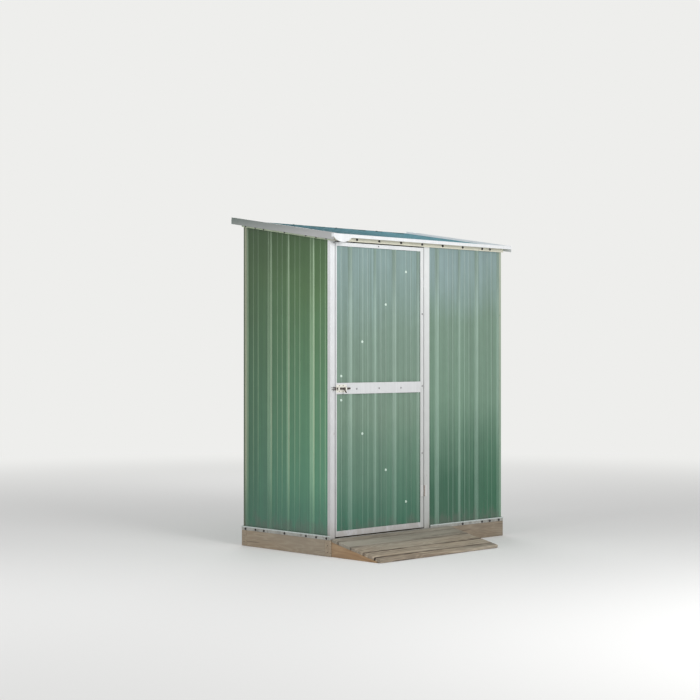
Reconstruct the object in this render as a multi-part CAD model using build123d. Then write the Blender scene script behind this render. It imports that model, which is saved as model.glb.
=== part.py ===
"""Small metal tool shed on a timber base with a short boarded ramp.

Millimetres. +X runs to the right along the front wall, +Y to the back, +Z up.
The origin is the centre of the wall footprint, at ground level.
Ribbed steel sheets stand in folded channels, a single-slope roof falls towards the front,
and one framed door hangs on the right of its opening and shuts with a sliding bolt.
"""
from build123d import *
import math
import os

os.makedirs("parts", exist_ok=True)

# Walls: outside faces of the flat stretches of sheet
wall_width = 1520.0
wall_depth = 760.0
sheet_t = 1.0
trim_t = 1.2

# Rib pattern of every sheet, repeated across it
rib_pitch = 371.0
rib_height = 8.0
wide_rib_w = 40.0
wide_rib_groove = 2.0
narrow_rib_w = 24.0
narrow_rib_at = 207.0
swage_w = 8.0
swage_height = 2.0
swages_at = (107.0, 150.0, 261.0, 303.0)
front_first_rib = 165.0
side_first_rib = 151.0
roof_first_rib = 189.0

# Timber base
base_height = 96.0
base_proud = 10.0
rim_w = 45.0
deck_t = 18.0
joist_w = 45.0
joist_spacing = 385.0

# Bottom channel
channel_height = 24.0
channel_proud = 10.0
flange_in = 28.0
hem_height = 8.0
threshold_height = 8.0

# Roof: underside plane at the front wall line, and its slope
roof_under_front = 1848.0
roof_slope_deg = 9.0
side_overhang = 32.0
front_overhang = 63.0
back_overhang = 81.0
header_height = 26.0
side_top_height = 27.0

# Roof trims
barge_below = 18.0
barge_above = 22.0
barge_w = 28.0
fascia_height = 20.0
fascia_flange = 34.0
cap_flange = 34.0
tab_width = 142.0
tab_drop = 28.0
tab_return = 18.0

# Jambs and corner angles
left_jamb_face = 36.0
left_jamb_side = 21.0
right_jamb_at = 793.0
right_jamb_face = 48.0
jamb_return = 28.0
corner_front_leg = 19.0
corner_side_leg = 9.0

# Door
latch_gap = 5.5
hinge_gap = 5.5
door_top_gap = 5.5
door_bottom_gap = 5.5
frame_depth = 26.0
latch_stile_w = 10.0
hinge_stile_w = 28.0
top_rail_h = 22.5
mid_rail_h = 65.0
mid_rail_z = 967.0
bottom_rail_h = 33.0
edge_turn_w = 8.0
edge_turn_out = 3.0
brace_w = 25.0
brace_depth = 12.0
brace_t = 1.5
brace_slope_deg = 49.1
brace_start = 30.0

# Hinges
knuckle_r = 4.5
hinge_pin_r = 2.0
pin_clearance = 0.08
knuckle_gap = 0.4
hinge_height = 68.0
hinge_leaf_w = 24.0
hinge_leaf_t = 1.5
hinge_offset = 634.0
knuckle_overlap = 2.0

# Sliding bolt
bolt_plate_w = 83.0
bolt_plate_h = 45.0
bolt_plate_t = 1.5
bolt_edge = 5.5
rod_r = 5.5
rod_clearance = 0.1
rod_lift = 0.6
rod_length = 100.0
guide_w = 10.0
guide_t = 2.5
guide_inset = 4.0
guide_pitch = 59.0
knob_r = 4.0
knob_length = 32.0
knob_drop_deg = 48.0
knob_at = 49.5
keeper_w = 26.0
keeper_h = 22.0
keeper_loop_w = 12.0
keeper_play = 1.5
keeper_edge = 3.0

# Ramp
ramp_width = 1010.0
ramp_run = 392.0
ramp_top = 102.0
ramp_board_t = 18.0
ramp_board_gap = 4.0
ramp_board_shares = (53.0, 101.0, 102.0, 87.0, 42.0)
ramp_stringer_w = 35.0
ramp_tip = 6.0
ramp_clearance = 0.3

# Places worked out from the sizes above
half_w = wall_width / 2
half_d = wall_depth / 2
slope = math.radians(roof_slope_deg)
lip_z = base_height + channel_height
sill_z = base_height + trim_t
threshold_z = base_height + threshold_height
door_left = -half_w + left_jamb_face + latch_gap
door_right = -half_w + right_jamb_at - hinge_gap
door_front = -half_d - trim_t
door_back = door_front + frame_depth
door_pan = -half_d + rib_height


def roof_under(y):
    """Height of the roof sheets' underside above the point y."""
    return roof_under_front + (y + half_d) * math.tan(slope)


header_bottom = roof_under(-half_d - channel_proud) - header_height
door_bottom = threshold_z + door_bottom_gap
door_top = header_bottom - door_top_gap


def block(x0, x1, y0, y1, z0, z1):
    """A plain bar between two corners."""
    centre = ((x0 + x1) / 2, (y0 + y1) / 2, (z0 + z1) / 2)
    return Pos(*centre) * Box(x1 - x0, y1 - y0, z1 - z0)


def plan_prism(points, z0, z1):
    """An outline in plan, raised from z0 to z1."""
    face = make_face(Polyline(*[(x, y, z0) for x, y in points], close=True))
    return extrude(face, z1 - z0, dir=(0, 0, 1))


def along_x(points, x0, x1):
    """A (y, z) section run from x0 to x1."""
    face = make_face(Polyline(*[(x0, y, z) for y, z in points], close=True))
    return extrude(face, x1 - x0, dir=(1, 0, 0))


def up_slope(points, y0, y1):
    """A section of (x, height over the roof's underside) run up the roof slope from y0 to y1."""
    base = roof_under(y0)
    face = make_face(Polyline(*[(x, y0, base + h) for x, h in points], close=True))
    length = (y1 - y0) / math.cos(slope)
    return extrude(face, length, dir=(0, math.cos(slope), math.sin(slope)))


def strip(line, shift):
    """Close an open line of points into a strip by a copy of it moved by shift."""
    dx, dy = shift
    return line + [(x + dx, y + dy) for x, y in reversed(line)]


def below_roof(solid, gap):
    """Trim a solid under the roof's underside plane, less a gap."""
    far = half_d * 2
    low, high = roof_under(-far) - gap, roof_under(far) - gap
    keep = along_x([(-far, -1), (far, -1), (far, high), (-far, low)], -half_w * 2, half_w * 2)
    return solid & keep


def mitred(solid, side):
    """Trim a run of channel to one side of the building, with its ends cut at 45 degrees."""
    x, y = half_w + channel_proud * 3, half_d + channel_proud * 3
    k = flange_in * 3
    if side in ("front", "back"):
        s = -1 if side == "front" else 1
        outline = [(-x, s * y), (x, s * y), (x - k, s * (y - k)), (-x + k, s * (y - k))]
    else:
        s = -1 if side == "left" else 1
        outline = [(s * x, -y), (s * x, y), (s * (x - k), y - k), (s * (x - k), -y + k)]
    return solid & plan_prism(outline, 0, roof_under(half_d) * 2)


def rib_line(start, end, first_rib, low=None, high=None):
    """Points (place, height) across a ribbed sheet from start to end.

    first_rib is the place of one wide rib. Ribs that would pass low or high are left out.
    """
    low = start if low is None else low
    high = end if high is None else high
    groove = rib_height - wide_rib_groove
    w, n, m = wide_rib_w / 2, narrow_rib_w / 2, swage_w / 2
    wide = [(-w, 0), (-w * 0.7, rib_height), (-w * 0.35, rib_height), (-w * 0.2, groove),
            (w * 0.2, groove), (w * 0.35, rib_height), (w * 0.7, rib_height), (w, 0)]
    narrow = [(-n, 0), (-n / 2, rib_height), (n / 2, rib_height), (n, 0)]
    swage = [(-m, 0), (-m / 3, swage_height), (m / 3, swage_height), (m, 0)]
    forms = [(0, wide), (narrow_rib_at, narrow)] + [(at, swage) for at in swages_at]
    first = math.floor((start - first_rib) / rib_pitch) - 1
    last = math.ceil((end - first_rib) / rib_pitch) + 1
    points = []
    for k in range(first, last):
        for at, form in sorted(forms):
            centre = first_rib + k * rib_pitch + at
            if centre + form[0][0] > low and centre + form[-1][0] < high:
                points += [(centre + s, h) for s, h in form]
    return [(start, 0)] + points + [(end, 0)]


def save(solid, name):
    """Write one node."""
    export_step(solid, "parts/" + name + ".step")


def save_group(solids, name):
    """Write one node that holds several separate solids."""
    export_step(Compound(children=list(solids)), "parts/" + name + ".step")


# Timber base
base_x = half_w + base_proud
base_y = half_d + base_proud


def base_rim():
    """Four rim boards: front and back run through, the sides stand between them."""
    inner_y = base_y - rim_w
    inner_x = base_x - rim_w
    save(block(-base_x, base_x, -base_y, -inner_y, 0, base_height), "base_rim_front")
    save(block(-base_x, base_x, inner_y, base_y, 0, base_height), "base_rim_back")
    save(block(-base_x, -inner_x, -inner_y, inner_y, 0, base_height), "base_rim_left")
    save(block(inner_x, base_x, -inner_y, inner_y, 0, base_height), "base_rim_right")
    under_deck = base_height - deck_t
    joists = [block(x - joist_w / 2, x + joist_w / 2, -inner_y, inner_y, 0, under_deck)
              for x in (-joist_spacing, 0, joist_spacing)]
    save_group(joists, "base_joists")
    save(block(-inner_x, inner_x, -inner_y, inner_y, under_deck, base_height), "floor_deck")


# Ramp
def ramp():
    """Boards laid along the front on three wedge-shaped stringers."""
    tilt = math.atan((ramp_top - ramp_board_t) / ramp_run)
    back = -base_y - trim_t - ramp_clearance - ramp_board_t * math.sin(tilt)
    down = (-math.cos(tilt), -math.sin(tilt))
    up = (-math.sin(tilt), math.cos(tilt))
    left, right = -half_w, -half_w + ramp_width
    length = ramp_run / math.cos(tilt)
    timber = length - ramp_board_gap * (len(ramp_board_shares) - 1)
    boards = []
    s1 = -ramp_board_gap
    for share in ramp_board_shares:
        s0 = s1 + ramp_board_gap
        s1 = s0 + timber * share / sum(ramp_board_shares)
        corners = [(s0, 0), (s1, 0), (s1, -ramp_board_t), (s0, -ramp_board_t)]
        section = [(back + down[0] * s + up[0] * h, ramp_top + down[1] * s + up[1] * h)
                   for s, h in corners]
        boards.append(along_x(section, left, right))
    save_group(boards, "ramp_boards")

    under = ramp_top - ramp_board_t / math.cos(tilt)
    tip_y = back - (under - ramp_tip) / math.tan(tilt)
    at_base = under + (-base_y - back) * math.tan(tilt)
    wedge = [(-base_y, 0), (-base_y, at_base), (tip_y, ramp_tip), (tip_y, 0)]
    middle = (left + right) / 2
    starts = (left, middle - ramp_stringer_w / 2, right - ramp_stringer_w)
    save_group([along_x(wedge, x, x + ramp_stringer_w) for x in starts], "ramp_stringers")


# Bottom channels
def bottom_channels():
    """Folded channels on the base: a flange under the sheets and a hemmed outer leg.

    The front one's leg is cut down to a low threshold in front of the door and its jambs.
    """
    out, hem = channel_proud, channel_proud + trim_t
    section = [(-flange_in, base_height), (out, base_height), (out, lip_z - hem_height),
               (hem, lip_z - hem_height), (hem, lip_z), (out - trim_t, lip_z),
               (out - trim_t, sill_z), (-flange_in, sill_z)]
    far_x, far_y = half_w + hem, half_d + hem
    doorway = block(-far_x * 2, -half_w + right_jamb_at + right_jamb_face, -far_y * 2,
                    -half_d - out / 2, threshold_z, lip_z * 2)
    for side, sign in (("front", -1), ("back", 1)):
        run = along_x([(sign * (half_d + o), z) for o, z in section], -far_x, far_x)
        run = mitred(run, side)
        save(run - doorway if side == "front" else run, "bottom_channel_" + side)
    for side, sign in (("left", -1), ("right", 1)):
        points = [(sign * (half_w + o), -far_y, z) for o, z in section]
        run = extrude(make_face(Polyline(*points, close=True)), 2 * far_y, dir=(0, 1, 0))
        save(mitred(run, side), "bottom_channel_" + side)


# Top channels
def top_channels():
    """Channels over the sheets' top edges, with their flanges along the roof slope."""
    out = channel_proud

    def cross(sign, height):
        outer = sign * (half_d + out)
        leg = sign * (half_d + out - trim_t)
        inner = sign * (half_d - flange_in)
        foot = roof_under(outer) - height
        return [(outer, foot), (outer, roof_under(outer)), (inner, roof_under(inner)),
                (inner, roof_under(inner) - trim_t), (leg, roof_under(leg) - trim_t), (leg, foot)]

    far = half_w + out
    save(mitred(along_x(cross(-1, header_height), -far, far), "front"), "front_header")
    save(mitred(along_x(cross(1, header_height), -far, far), "back"), "top_channel_back")
    for side, sign in (("left", -1), ("right", 1)):
        outer, leg, inner = half_w + out, half_w + out - trim_t, half_w - flange_in
        section = [(outer, -side_top_height), (outer, 0), (inner, 0), (inner, -trim_t),
                   (leg, -trim_t), (leg, -side_top_height)]
        run = up_slope([(sign * x, h) for x, h in section], -half_d - out, half_d + out)
        save(mitred(run, side), "top_channel_" + side)


# Wall sheets
def wall_sheets():
    """Ribbed sheets of the sides, the back and the front to the right of the door."""
    top = roof_under(half_d)
    for side, sign in (("left", -1), ("right", 1)):
        line = rib_line(0, wall_depth, side_first_rib, left_jamb_side, wall_depth - corner_side_leg)
        outline = strip([(sign * (half_w + h), s - half_d) for s, h in line], (-sign * sheet_t, 0))
        save(below_roof(plan_prism(outline, sill_z, top), trim_t), side + "_wall_sheet")

    back_ends = (corner_front_leg, wall_width - corner_front_leg)
    whole = rib_line(sheet_t, wall_width - sheet_t, front_first_rib, *back_ends)
    lap = front_first_rib + 2 * rib_pitch - wide_rib_w / 2
    for side, piece in (("left", [p for p in whole if p[0] < lap - 1] + [(lap, 0)]),
                        ("right", [(lap, 0)] + [p for p in whole if p[0] > lap + 1])):
        outline = strip([(s - half_w, half_d + h) for s, h in piece], (0, -sheet_t))
        save(below_roof(plan_prism(outline, sill_z, top), trim_t), "back_wall_sheet_" + side)

    start = right_jamb_at + trim_t
    ends = (right_jamb_at + right_jamb_face, wall_width - corner_front_leg)
    line = rib_line(start, wall_width - sheet_t, front_first_rib, *ends)
    outline = strip([(s - half_w, -half_d - h) for s, h in line], (0, sheet_t))
    save(below_roof(plan_prism(outline, sill_z, top), trim_t), "front_wall_sheet")


# Jambs and corner angles
def jambs():
    """White folded jambs either side of the doorway."""
    t = trim_t
    top = roof_under(half_d)
    x0, x1 = -half_w, -half_w + left_jamb_face
    y0, y1 = -half_d, -half_d + jamb_return
    y_side = -half_d + left_jamb_side
    left = [(x0 - t, y_side), (x0 - t, y0 - t), (x1, y0 - t), (x1, y1), (x1 - t, y1),
            (x1 - t, y0), (x0, y0), (x0, y_side)]
    save(below_roof(plan_prism(left, sill_z, top), t), "left_jamb")

    x0, x1 = -half_w + right_jamb_at, -half_w + right_jamb_at + right_jamb_face
    right = [(x0, y1), (x0, y0 - t), (x1, y0 - t), (x1, y0), (x0 + t, y0), (x0 + t, y1)]
    save(below_roof(plan_prism(right, sill_z, top), t), "right_jamb")


def corner_angles():
    """Green angles over the other three corners."""
    t = trim_t
    top = roof_under(half_d)
    for name, sx, sy in (("front_right", 1, -1), ("back_left", -1, 1), ("back_right", 1, 1)):
        leg_y = corner_side_leg if sy > 0 else corner_front_leg
        x, y = half_w, half_d
        points = [(x - corner_front_leg, y), (x - corner_front_leg, y + t), (x + t, y + t),
                  (x + t, y - leg_y), (x, y - leg_y), (x, y)]
        outline = [(sx * px, sy * py) for px, py in points]
        angle = below_roof(plan_prism(outline, sill_z, top), t)
        save(angle, "corner_angle_" + name)


# Roof
roof_left = -half_w - side_overhang + trim_t
roof_front = -half_d - front_overhang + trim_t
roof_back = half_d + back_overhang - trim_t


def roof_sheets():
    """Two ribbed sheets that lap beside a narrow rib."""
    width = -2 * roof_left
    first = roof_first_rib - (roof_left + half_w)
    whole = rib_line(0, width, first, barge_w, width - barge_w)
    lap = first + rib_pitch + narrow_rib_at - narrow_rib_w / 2
    for side, piece in (("left", [p for p in whole if p[0] < lap - 1] + [(lap, 0)]),
                        ("right", [(lap, 0)] + [p for p in whole if p[0] > lap + 1])):
        line = [(roof_left + s, h + sheet_t) for s, h in piece]
        save(up_slope(strip(line, (0, -sheet_t)), roof_front, roof_back), "roof_sheet_" + side)


def roof_trims():
    """Box-folded barges up both sides, a fascia along the front, a strip closing the back."""
    t = trim_t
    outer, inner = half_w + side_overhang, half_w + side_overhang - barge_w
    section = [(outer, -barge_below), (outer, barge_above), (inner, barge_above), (inner, sheet_t),
               (inner + t, sheet_t), (inner + t, barge_above - t), (outer - t, barge_above - t),
               (outer - t, -barge_below)]
    for side, sign in (("left", -1), ("right", 1)):
        run = up_slope([(sign * x, h) for x, h in section], roof_front, roof_back)
        save(run, "barge_" + side)

    front = roof_front - t
    foot = roof_under(front)
    top = foot + fascia_height
    rest_y = front + fascia_flange
    rest = roof_under(rest_y) + sheet_t + rib_height
    upright = [(front, foot), (front, top), (roof_front, top), (roof_front, foot)]
    flange = [(roof_front, top), (rest_y, rest + t), (rest_y, rest), (roof_front, top - t)]
    fascia = along_x(upright, -outer, outer) + along_x(flange, -inner, inner)
    save(fascia, "front_fascia")

    back, y0 = roof_back + t, roof_back - cap_flange
    lip, crest = roof_under(roof_back) - barge_below, roof_under(back) + sheet_t + rib_height
    under0, under1 = roof_under(y0), roof_under(roof_back)
    upright = [(back, lip), (back, crest), (roof_back, crest), (roof_back, lip)]
    flange = [(roof_back, under1), (y0, under0), (y0, under0 - t), (roof_back, under1 - t)]
    closer = along_x(upright, -outer, outer) + along_x(flange, -outer + t, outer - t)
    save(closer, "back_cap")

    low = foot - tab_drop
    plate = make_face(
        Line((-outer, front, top), (-outer, front, foot))
        + ThreePointArc((-outer, front, foot), (-outer + tab_width * 0.53, front, low),
                        (-outer + tab_width, front, foot))
        + Line((-outer + tab_width, front, foot), (-outer + tab_width, front, top))
        + Line((-outer + tab_width, front, top), (-outer, front, top)))
    tab = extrude(plate, t, dir=(0, -1, 0))
    side = block(-outer - t, -outer, front - t, front + tab_return, foot, top)
    save(tab + side, "barge_corner_tab")


# Door
def door_frame():
    """Stiles and rails of folded channel around the sheet, and a flanged rail at half height."""
    t = trim_t
    f, b = door_front, door_back
    for name, edge, sign, w in (("door_latch_stile", door_left, 1, latch_stile_w),
                                ("door_hinge_stile", door_right, -1, hinge_stile_w)):
        e = [(0, f), (w, f), (w, f + t), (t, f + t), (t, b - t), (w, b - t), (w, b), (0, b)]
        outline = [(edge + sign * x, y) for x, y in e]
        save(plan_prism(outline, door_bottom, door_top), name)

    x0, x1 = door_left + latch_stile_w, door_right - hinge_stile_w
    for name, edge, sign, h in (("door_top_rail", door_top, -1, top_rail_h),
                                ("door_bottom_rail", door_bottom, 1, bottom_rail_h)):
        e = [(f, 0), (f, h), (f + t, h), (f + t, t), (b - t, t), (b - t, h), (b, h), (b, 0)]
        save(along_x([(y, edge + sign * z) for y, z in e], x0, x1), name)

    z, h = mid_rail_z, mid_rail_h / 2
    flanged = [(f, z - h), (f, z + h), (f + t, z + h), (f + t, z + t / 2), (b - t, z + t / 2),
               (b - t, z + h), (b, z + h), (b, z - h), (b - t, z - h), (b - t, z - t / 2),
               (f + t, z - t / 2), (f + t, z - h)]
    save(along_x(flanged, x0, x1), "door_mid_rail")


def door_sheets():
    """One ribbed sheet above the middle rail and one below, turned forward under the stiles."""
    start, end = door_left + half_w + trim_t, door_right + half_w - trim_t
    left = door_left + latch_stile_w + half_w + edge_turn_out
    right = door_right - hinge_stile_w + half_w - edge_turn_out
    line = rib_line(left, right, front_first_rib)
    line = ([(start, rib_height), (left - edge_turn_w, rib_height)] + line
            + [(right + edge_turn_w, rib_height), (end, rib_height)])
    outline = strip([(s - half_w, door_pan - h) for s, h in line], (0, sheet_t))
    upper = plan_prism(outline, mid_rail_z + trim_t / 2, door_top - trim_t)
    lower = plan_prism(outline, door_bottom + trim_t, mid_rail_z - trim_t / 2)
    save_group([upper, lower], "door_sheets")


def door_braces():
    """Two flat channels behind the sheets, from the latch side up and down to the hinge side."""
    angle = math.radians(brace_slope_deg)
    y0, y1 = door_pan + sheet_t, door_pan + sheet_t + brace_depth
    x0 = door_left + latch_stile_w
    x1 = door_right - hinge_stile_w
    bars = []
    for sign, z_edge in ((1, door_top - top_rail_h), (-1, door_bottom + bottom_rail_h)):
        z_mid = mid_rail_z + sign * mid_rail_h / 2
        start = (x0 + brace_start, z_mid)
        run = (x1 - x0) * 2
        across = (-math.sin(angle) * brace_w / 2, sign * math.cos(angle) * brace_w / 2)
        ahead = (math.cos(angle) * run, sign * math.sin(angle) * run)

        def bar(inset, near, far):
            k = 1 - 2 * inset / brace_w
            a = (across[0] * k, across[1] * k)
            ends = ((-ahead[0], -ahead[1]), ahead)
            corners = [(start[0] + ends[0][0] + a[0], start[1] + ends[0][1] + a[1]),
                       (start[0] + ends[1][0] + a[0], start[1] + ends[1][1] + a[1]),
                       (start[0] + ends[1][0] - a[0], start[1] + ends[1][1] - a[1]),
                       (start[0] + ends[0][0] - a[0], start[1] + ends[0][1] - a[1])]
            face = make_face(Polyline(*[(x, near, z) for x, z in corners], close=True))
            return extrude(face, far - near, dir=(0, 1, 0))

        z_low, z_high = sorted((z_mid, z_edge))
        clear = block(x0, x1, y0, y1, z_low, z_high)
        bars.append((bar(0, y0, y1) - bar(brace_t, y0 + brace_t, y1)) & clear)
    save_group(bars, "door_braces")


# Hinges
hinge_x = door_right + hinge_gap / 2
hinge_y = door_front - knuckle_r


def hinges():
    """Two butt hinges: the jamb's leaves carry the pins, the door's leaves the middle knuckle."""
    third = hinge_height / 3
    face, leaf = door_front, door_front - hinge_leaf_t
    jamb_leaves = []
    door_leaves = []
    near = knuckle_r + knuckle_gap
    tongue = knuckle_r - knuckle_overlap - hinge_leaf_t / 2
    for z in (mid_rail_z - hinge_offset, mid_rail_z + hinge_offset):
        low, high = z - hinge_height / 2, z + hinge_height / 2
        jamb = block(hinge_x + near, hinge_x + near + hinge_leaf_w, leaf, face, low, high)
        for start in (low, high - third):
            jamb += Pos(hinge_x, hinge_y, start + third / 2) * Cylinder(knuckle_r, third)
            jamb += block(hinge_x + tongue, hinge_x + near, leaf, face, start, start + third)
        jamb += Pos(hinge_x, hinge_y, z) * Cylinder(hinge_pin_r, hinge_height)
        jamb_leaves.append(jamb)

        middle = third - 2 * knuckle_gap
        door = block(hinge_x - near - hinge_leaf_w, hinge_x - near, leaf, face, low, high)
        door += Pos(hinge_x, hinge_y, z) * Cylinder(knuckle_r, middle)
        door += block(hinge_x - near, hinge_x - tongue, leaf, face, z - middle / 2, z + middle / 2)
        door -= Pos(hinge_x, hinge_y, z) * Cylinder(hinge_pin_r + pin_clearance, hinge_height * 2)
        door_leaves.append(door)
    save_group(jamb_leaves, "hinge_jamb_leaves")
    save_group(door_leaves, "hinge_door_leaves")


# Sliding bolt
plate_face = door_front - bolt_plate_t
rod_y = plate_face - rod_lift - rod_r
bolt_left = door_left + bolt_edge


def loop(x0, width, inner_h, outer_y):
    """A square strap bent over the rod, standing on a plate."""
    h, w = inner_h, inner_h + guide_t
    front = outer_y - guide_t
    z = mid_rail_z
    points = [(plate_face, z - w), (front, z - w), (front, z + w), (plate_face, z + w),
              (plate_face, z + h), (outer_y, z + h), (outer_y, z - h), (plate_face, z - h)]
    return along_x(points, x0, x0 + width)


def bolt():
    """The plate with its two guides, the rod with its knob, and the keeper on the jamb."""
    z = mid_rail_z
    plate = block(bolt_left, bolt_left + bolt_plate_w, plate_face, door_front,
                  z - bolt_plate_h / 2, z + bolt_plate_h / 2)
    snug = rod_r + rod_clearance
    for x in (bolt_left + guide_inset, bolt_left + guide_inset + guide_pitch):
        plate += loop(x, guide_w, snug, rod_y - snug)
    save(plate, "bolt_plate")

    tip = bolt_left + guide_inset
    rod = Pos(tip + rod_length / 2, rod_y, z) * Rot(0, 90, 0) * Cylinder(rod_r, rod_length)
    rod = chamfer(rod.edges().filter_by(GeomType.CIRCLE).group_by(Axis.X)[0], rod_r / 4)
    knob = Pos(tip + knob_at, rod_y, z) * Rot(90 + knob_drop_deg, 0, 0)
    save(rod + knob * Pos(0, 0, knob_length / 2) * Cylinder(knob_r, knob_length), "bolt_rod")

    right = -half_w + left_jamb_face - keeper_edge
    keeper = block(right - keeper_w, right, plate_face, door_front, z - keeper_h / 2, z + keeper_h / 2)
    roomy = rod_r + keeper_play
    keeper += loop(right - keeper_loop_w - keeper_edge, keeper_loop_w, roomy, rod_y - roomy)
    save(keeper, "bolt_keeper")


base_rim()
ramp()
bottom_channels()
top_channels()
wall_sheets()
jambs()
corner_angles()
roof_sheets()
roof_trims()
door_frame()
door_sheets()
door_braces()
hinges()
bolt()
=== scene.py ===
"""Looks of the small ribbed steel tool shed: paint, zinc, timber, screws, rivets and nails.

Metres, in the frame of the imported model: +X to the right along the front, +Y to the back, +Z up.
"""
import math
import random

import bmesh
import bpy
from mathutils import Matrix, Vector


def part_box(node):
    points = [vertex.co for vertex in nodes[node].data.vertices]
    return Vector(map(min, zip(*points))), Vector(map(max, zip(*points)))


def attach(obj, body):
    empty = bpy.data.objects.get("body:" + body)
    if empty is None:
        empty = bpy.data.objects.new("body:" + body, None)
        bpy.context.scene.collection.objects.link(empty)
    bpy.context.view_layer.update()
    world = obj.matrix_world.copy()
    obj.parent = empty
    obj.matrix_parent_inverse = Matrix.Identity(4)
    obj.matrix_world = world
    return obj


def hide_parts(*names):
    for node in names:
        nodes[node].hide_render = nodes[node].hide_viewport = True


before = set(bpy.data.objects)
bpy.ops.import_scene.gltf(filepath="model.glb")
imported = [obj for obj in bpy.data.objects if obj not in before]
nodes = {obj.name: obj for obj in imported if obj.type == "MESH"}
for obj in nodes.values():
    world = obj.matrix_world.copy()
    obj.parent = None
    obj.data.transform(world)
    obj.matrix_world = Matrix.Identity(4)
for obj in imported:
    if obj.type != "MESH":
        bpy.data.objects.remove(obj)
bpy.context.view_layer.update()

MM = 0.001
random.seed(7)

# The photograph's camera, fitted to the wall corners, the ribs and the screws
CAMERA_PLACE = (-6.9735, -6.8661, 1.164)
CAMERA_LOOKS = (0.7009, 0.7133, 0.0)
CAMERA_LENS = 80.28
SENSOR_WIDTH = 36.0
HORIZON_DROP = 4.5 / 700

# Places that the looks share with the frame
wall_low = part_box("left_wall_sheet")[0]
rib_height = 8 * MM
sheet_t = 1.0 * MM
trim_t = 1.2 * MM
fitting_t = 1.5 * MM
wall_x = -(wall_low.x + rib_height)
wall_y = -wall_low.y
header_low, header_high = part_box("front_header")
channel_low, channel_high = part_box("bottom_channel_front")
roof_slope = math.radians(9.0)
door_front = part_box("door_mid_rail")[0].y
door_pan = -wall_y + rib_height
mid_rail = (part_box("door_mid_rail")[0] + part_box("door_mid_rail")[1]) / 2
deck_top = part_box("floor_deck")[1].z

# The roof's ribs, from the left corner of the walls
rib_pitch = 371 * MM
narrow_rib_at = 207 * MM
roof_first_rib = 189 * MM

# Screw lines along the channels and headers, from the left or front corner of the walls
screw_first = 207 * MM
screw_pitch = 186.3 * MM
screw_line = [screw_first + screw_pitch * n for n in range(7)]
front_end_screws = [1400 * MM, 1488 * MM]
side_screws = [v * MM for v in (22, 108, 195, 381, 566, 642, 734)]


def header_top(y):
    """Height of the roof sheets' underside above the point y."""
    return header_high.z + (y - header_high.y) * math.tan(roof_slope)


def srgb(red, green, blue):
    """A colour read from a screen, 0 to 255, as the linear colour that a shader takes."""
    def linear(v):
        v /= 255
        return v / 12.92 if v <= 0.04045 else ((v + 0.055) / 1.055) ** 2.4
    return (linear(red), linear(green), linear(blue), 1.0)


# Node graphs
class Graph:
    """A node tree with short ways to add nodes, set their sockets and join them."""

    def __init__(self, tree):
        self.tree = tree
        self.count = 0

    def add(self, kind, sockets=None, **settings):
        node = self.tree.nodes.new(kind)
        node.location = (self.count % 8 * 220, -(self.count // 8) * 280)
        self.count += 1
        for name, value in settings.items():
            setattr(node, name, value)
        for name, value in (sockets or {}).items():
            self.feed(node.inputs[name], value)
        return node

    def feed(self, socket, value):
        if isinstance(value, bpy.types.NodeSocket):
            self.tree.links.new(value, socket)
        else:
            socket.default_value = value

    def math(self, operation, *values, clamp=False):
        node = self.add("ShaderNodeMath", dict(enumerate(values)), operation=operation, use_clamp=clamp)
        return node.outputs[0]

    def ramp(self, value, low, high, out_low=0.0, out_high=1.0, smooth=True):
        kind = "SMOOTHSTEP" if smooth else "LINEAR"
        node = self.add("ShaderNodeMapRange", {"Value": value, "From Min": low, "From Max": high,
                                               "To Min": out_low, "To Max": out_high},
                        interpolation_type=kind)
        return node.outputs["Result"]

    def mix(self, factor, a, b, blend="MIX"):
        node = self.add("ShaderNodeMix", data_type="RGBA", blend_type=blend)
        self.feed(node.inputs[0], factor)
        self.feed(node.inputs[6], a)
        self.feed(node.inputs[7], b)
        return node.outputs[2]

    def stretch(self, vector, scale):
        node = self.add("ShaderNodeMapping", {"Vector": vector, "Scale": scale})
        return node.outputs["Vector"]

    def noise(self, vector, scale, detail=2.0, roughness=0.5):
        node = self.add("ShaderNodeTexNoise", {"Vector": vector, "Scale": scale, "Detail": detail,
                                               "Roughness": roughness})
        return node.outputs["Fac"]

    def times(self, a, b):
        return self.math("MULTIPLY", a, b)

    def minus(self, a, b):
        return self.math("SUBTRACT", a, b)

    def dot(self, a, b):
        node = self.add("ShaderNodeVectorMath", {0: a, 1: b}, operation="DOT_PRODUCT")
        return node.outputs["Value"]

    def place(self):
        return self.add("ShaderNodeTexCoord").outputs["Object"]

    def axes(self):
        """The place's X, Y and Z, by name."""
        return self.add("ShaderNodeSeparateXYZ", {"Vector": self.place()}).outputs


def new_group(name, inputs):
    """A shader node group: its graph, the sockets that it is given and those that it fills.

    An input's default tells its kind: a number, three numbers for a vector or four for a colour.
    """
    tree = bpy.data.node_groups.new(name, "ShaderNodeTree")
    for label, default in inputs.items():
        kind = "Float" if isinstance(default, float) else {3: "Vector", 4: "Color"}[len(default)]
        socket = tree.interface.new_socket(label, in_out="INPUT", socket_type="NodeSocket" + kind)
        socket.default_value = default
    for label, kind in (("Color", "Color"), ("Roughness", "Float"), ("Height", "Float")):
        tree.interface.new_socket(label, in_out="OUTPUT", socket_type="NodeSocket" + kind)
    graph = Graph(tree)
    return graph, graph.add("NodeGroupInput").outputs, graph.add("NodeGroupOutput").inputs


# The paint's sockets for its four tones and the heights at which they are reached
TONES = ("Paint", "Middle", "Upper", "Top Tone")
FADES = ("Fade Low", "Fade Middle", "Fade Upper", "Fade High")
# Noise scales per metre, evenly or along X, Y and Z
CLOUDS, MOTTLE, PEEL = 2.1, 13.0, 420.0
FINE_STREAKS, BROAD_STREAKS = (120.0, 120.0, 0.7), (24.0, 24.0, 0.5)
SPLASHES, CANNING = (22.0, 22.0, 9.0), (7.0, 7.0, 1.6)
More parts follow.
